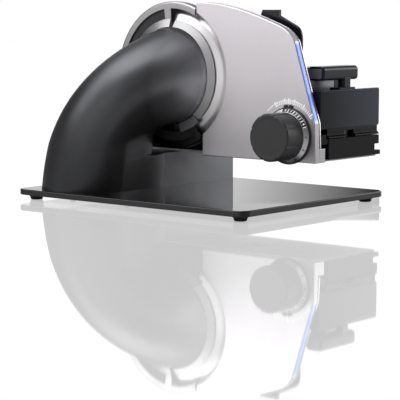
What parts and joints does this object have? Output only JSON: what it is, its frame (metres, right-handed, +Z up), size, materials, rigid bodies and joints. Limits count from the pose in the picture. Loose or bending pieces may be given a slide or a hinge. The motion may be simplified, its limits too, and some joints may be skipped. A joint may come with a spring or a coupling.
{
  "type": "electric food slicer",
  "caption": "Electric food slicer on a glass base: trunk-shaped motor arm, round blade with guard ring, stop plate with thickness dial, sliding food carriage with pusher",
  "frame": {"origin": "centre of the base rectangle of the bounding box, on the floor under the feet", "axes": "+Z up, +X from the slice side to the food side along the blade's axis, +Y away from the operator along the carriage's travel"},
  "size_m": [0.286, 0.378, 0.2491],
  "materials": {
    "black_glass": "polished black safety glass, opaque",
    "charcoal_satin": "dark charcoal satin paint",
    "cast_silver": "machined and brushed",
    "blade_steel": "ground and polished",
    "bright_steel": "plain turned steel",
    "bare_aluminium": "plain",
    "silver_satin": "pale warm silver satin",
    "dark_plastic": "fine matt",
    "gloss_black": "gloss black",
    "pale_cover": "light grey matt",
    "nylon": "natural nylon",
    "brass": "turned",
    "circuit_board": "green circuit board",
    "blue_light": "translucent blue light guide",
    "rubber": "matt black rubber"
  },
  "bodies": {
    "frame": {"base_plate": "black_glass", "foot_1": "rubber", "foot_2": "rubber", "foot_3": "rubber", "foot_4": "rubber", "arm_housing": "charcoal_satin", "base_screw_1": "bright_steel", "base_screw_2": "bright_steel", "base_screw_3": "bright_steel", "base_screw_4": "bright_steel", "rail_screw_1": "bright_steel", "rail_screw_2": "bright_steel", "guard_ring": "cast_silver", "slice_stripper": "cast_silver", "head_plate": "bare_aluminium", "gear_plate": "bare_aluminium", "front_bearing": "bright_steel", "rear_bearing": "bright_steel", "motor_can": "bare_aluminium", "spindle": "bright_steel", "spindle_bracket": "bright_steel", "rail_beam": "gloss_black", "rail_cover": "pale_cover", "rail_front_cap": "dark_plastic", "rail_rear_cap": "dark_plastic", "slide_track": "bare_aluminium", "switch_bezel": "dark_plastic", "switch_body": "dark_plastic", "cord_inlet": "rubber", "power_board": "circuit_board"},
    "blade_unit": {"blade": "blade_steel", "blade_hub": "dark_plastic", "blade_screw_1": "bright_steel", "blade_screw_2": "bright_steel", "blade_screw_3": "bright_steel", "blade_shaft": "bright_steel", "drive_gear": "nylon"},
    "rotor": {"motor_shaft": "bright_steel"},
    "stop_unit": {"stop_plate": "silver_satin", "stop_face": "bright_steel", "stop_foot": "silver_satin", "light_strip": "blue_light", "light_board": "circuit_board", "guide_rod_1": "bright_steel", "guide_rod_2": "bright_steel", "index_ring": "dark_plastic"},
    "dial": {"scale_ring": "bare_aluminium", "knob_cap": "charcoal_satin", "knob_bush": "brass", "bush_clip": "bright_steel"},
    "carriage": {"carriage_tray": "gloss_black", "carriage_wall": "gloss_black", "pusher_guide": "gloss_black", "carriage_shoe": "nylon", "carriage_glide": "dark_plastic"},
    "pusher": {"pusher_plate": "gloss_black", "pusher_handle": "gloss_black", "pusher_shoe": "dark_plastic"},
    "button": {"power_button": "dark_plastic"}
  },
  "joints": [
    {"name": "blade_spin", "type": "hinge", "parent": "frame", "child": "blade_unit", "pos_m": [-0.023, 0.0336, 0.1572], "axis": [1, 0, 0], "continuous": true},
    {"name": "motor_spin", "type": "hinge", "parent": "frame", "child": "rotor", "pos_m": [-0.043, 0.04986, 0.13691], "axis": [1, 0, 0], "continuous": true},
    {"name": "stop_plate_slide", "type": "slide", "parent": "frame", "child": "stop_unit", "axis": [-1, 0, 0], "range_m": [0, 0.02]},
    {"name": "knob_turn", "type": "hinge", "parent": "stop_unit", "child": "dial", "pos_m": [-0.033, -0.1497, 0.09], "axis": [-1, 0, 0], "range_deg": [0, 300]},
    {"name": "carriage_slide", "type": "slide", "parent": "frame", "child": "carriage", "axis": [0, 1, 0], "range_m": [0, 0.165]},
    {"name": "pusher_slide", "type": "slide", "parent": "carriage", "child": "pusher", "axis": [1, 0, 0], "range_m": [-0.007, 0.039]},
    {"name": "power_button_press", "type": "slide", "parent": "frame", "child": "button", "axis": [0, -1, 0], "range_m": [0, 0.0025], "stiffness_N_per_m": 400}
  ],
  "couplings": [
    {"joint": "motor_spin", "follows": "blade_spin", "ratio": -3},
    {"joint": "knob_turn", "follows": "stop_plate_slide", "rad_per_m": 261.7}
  ]
}
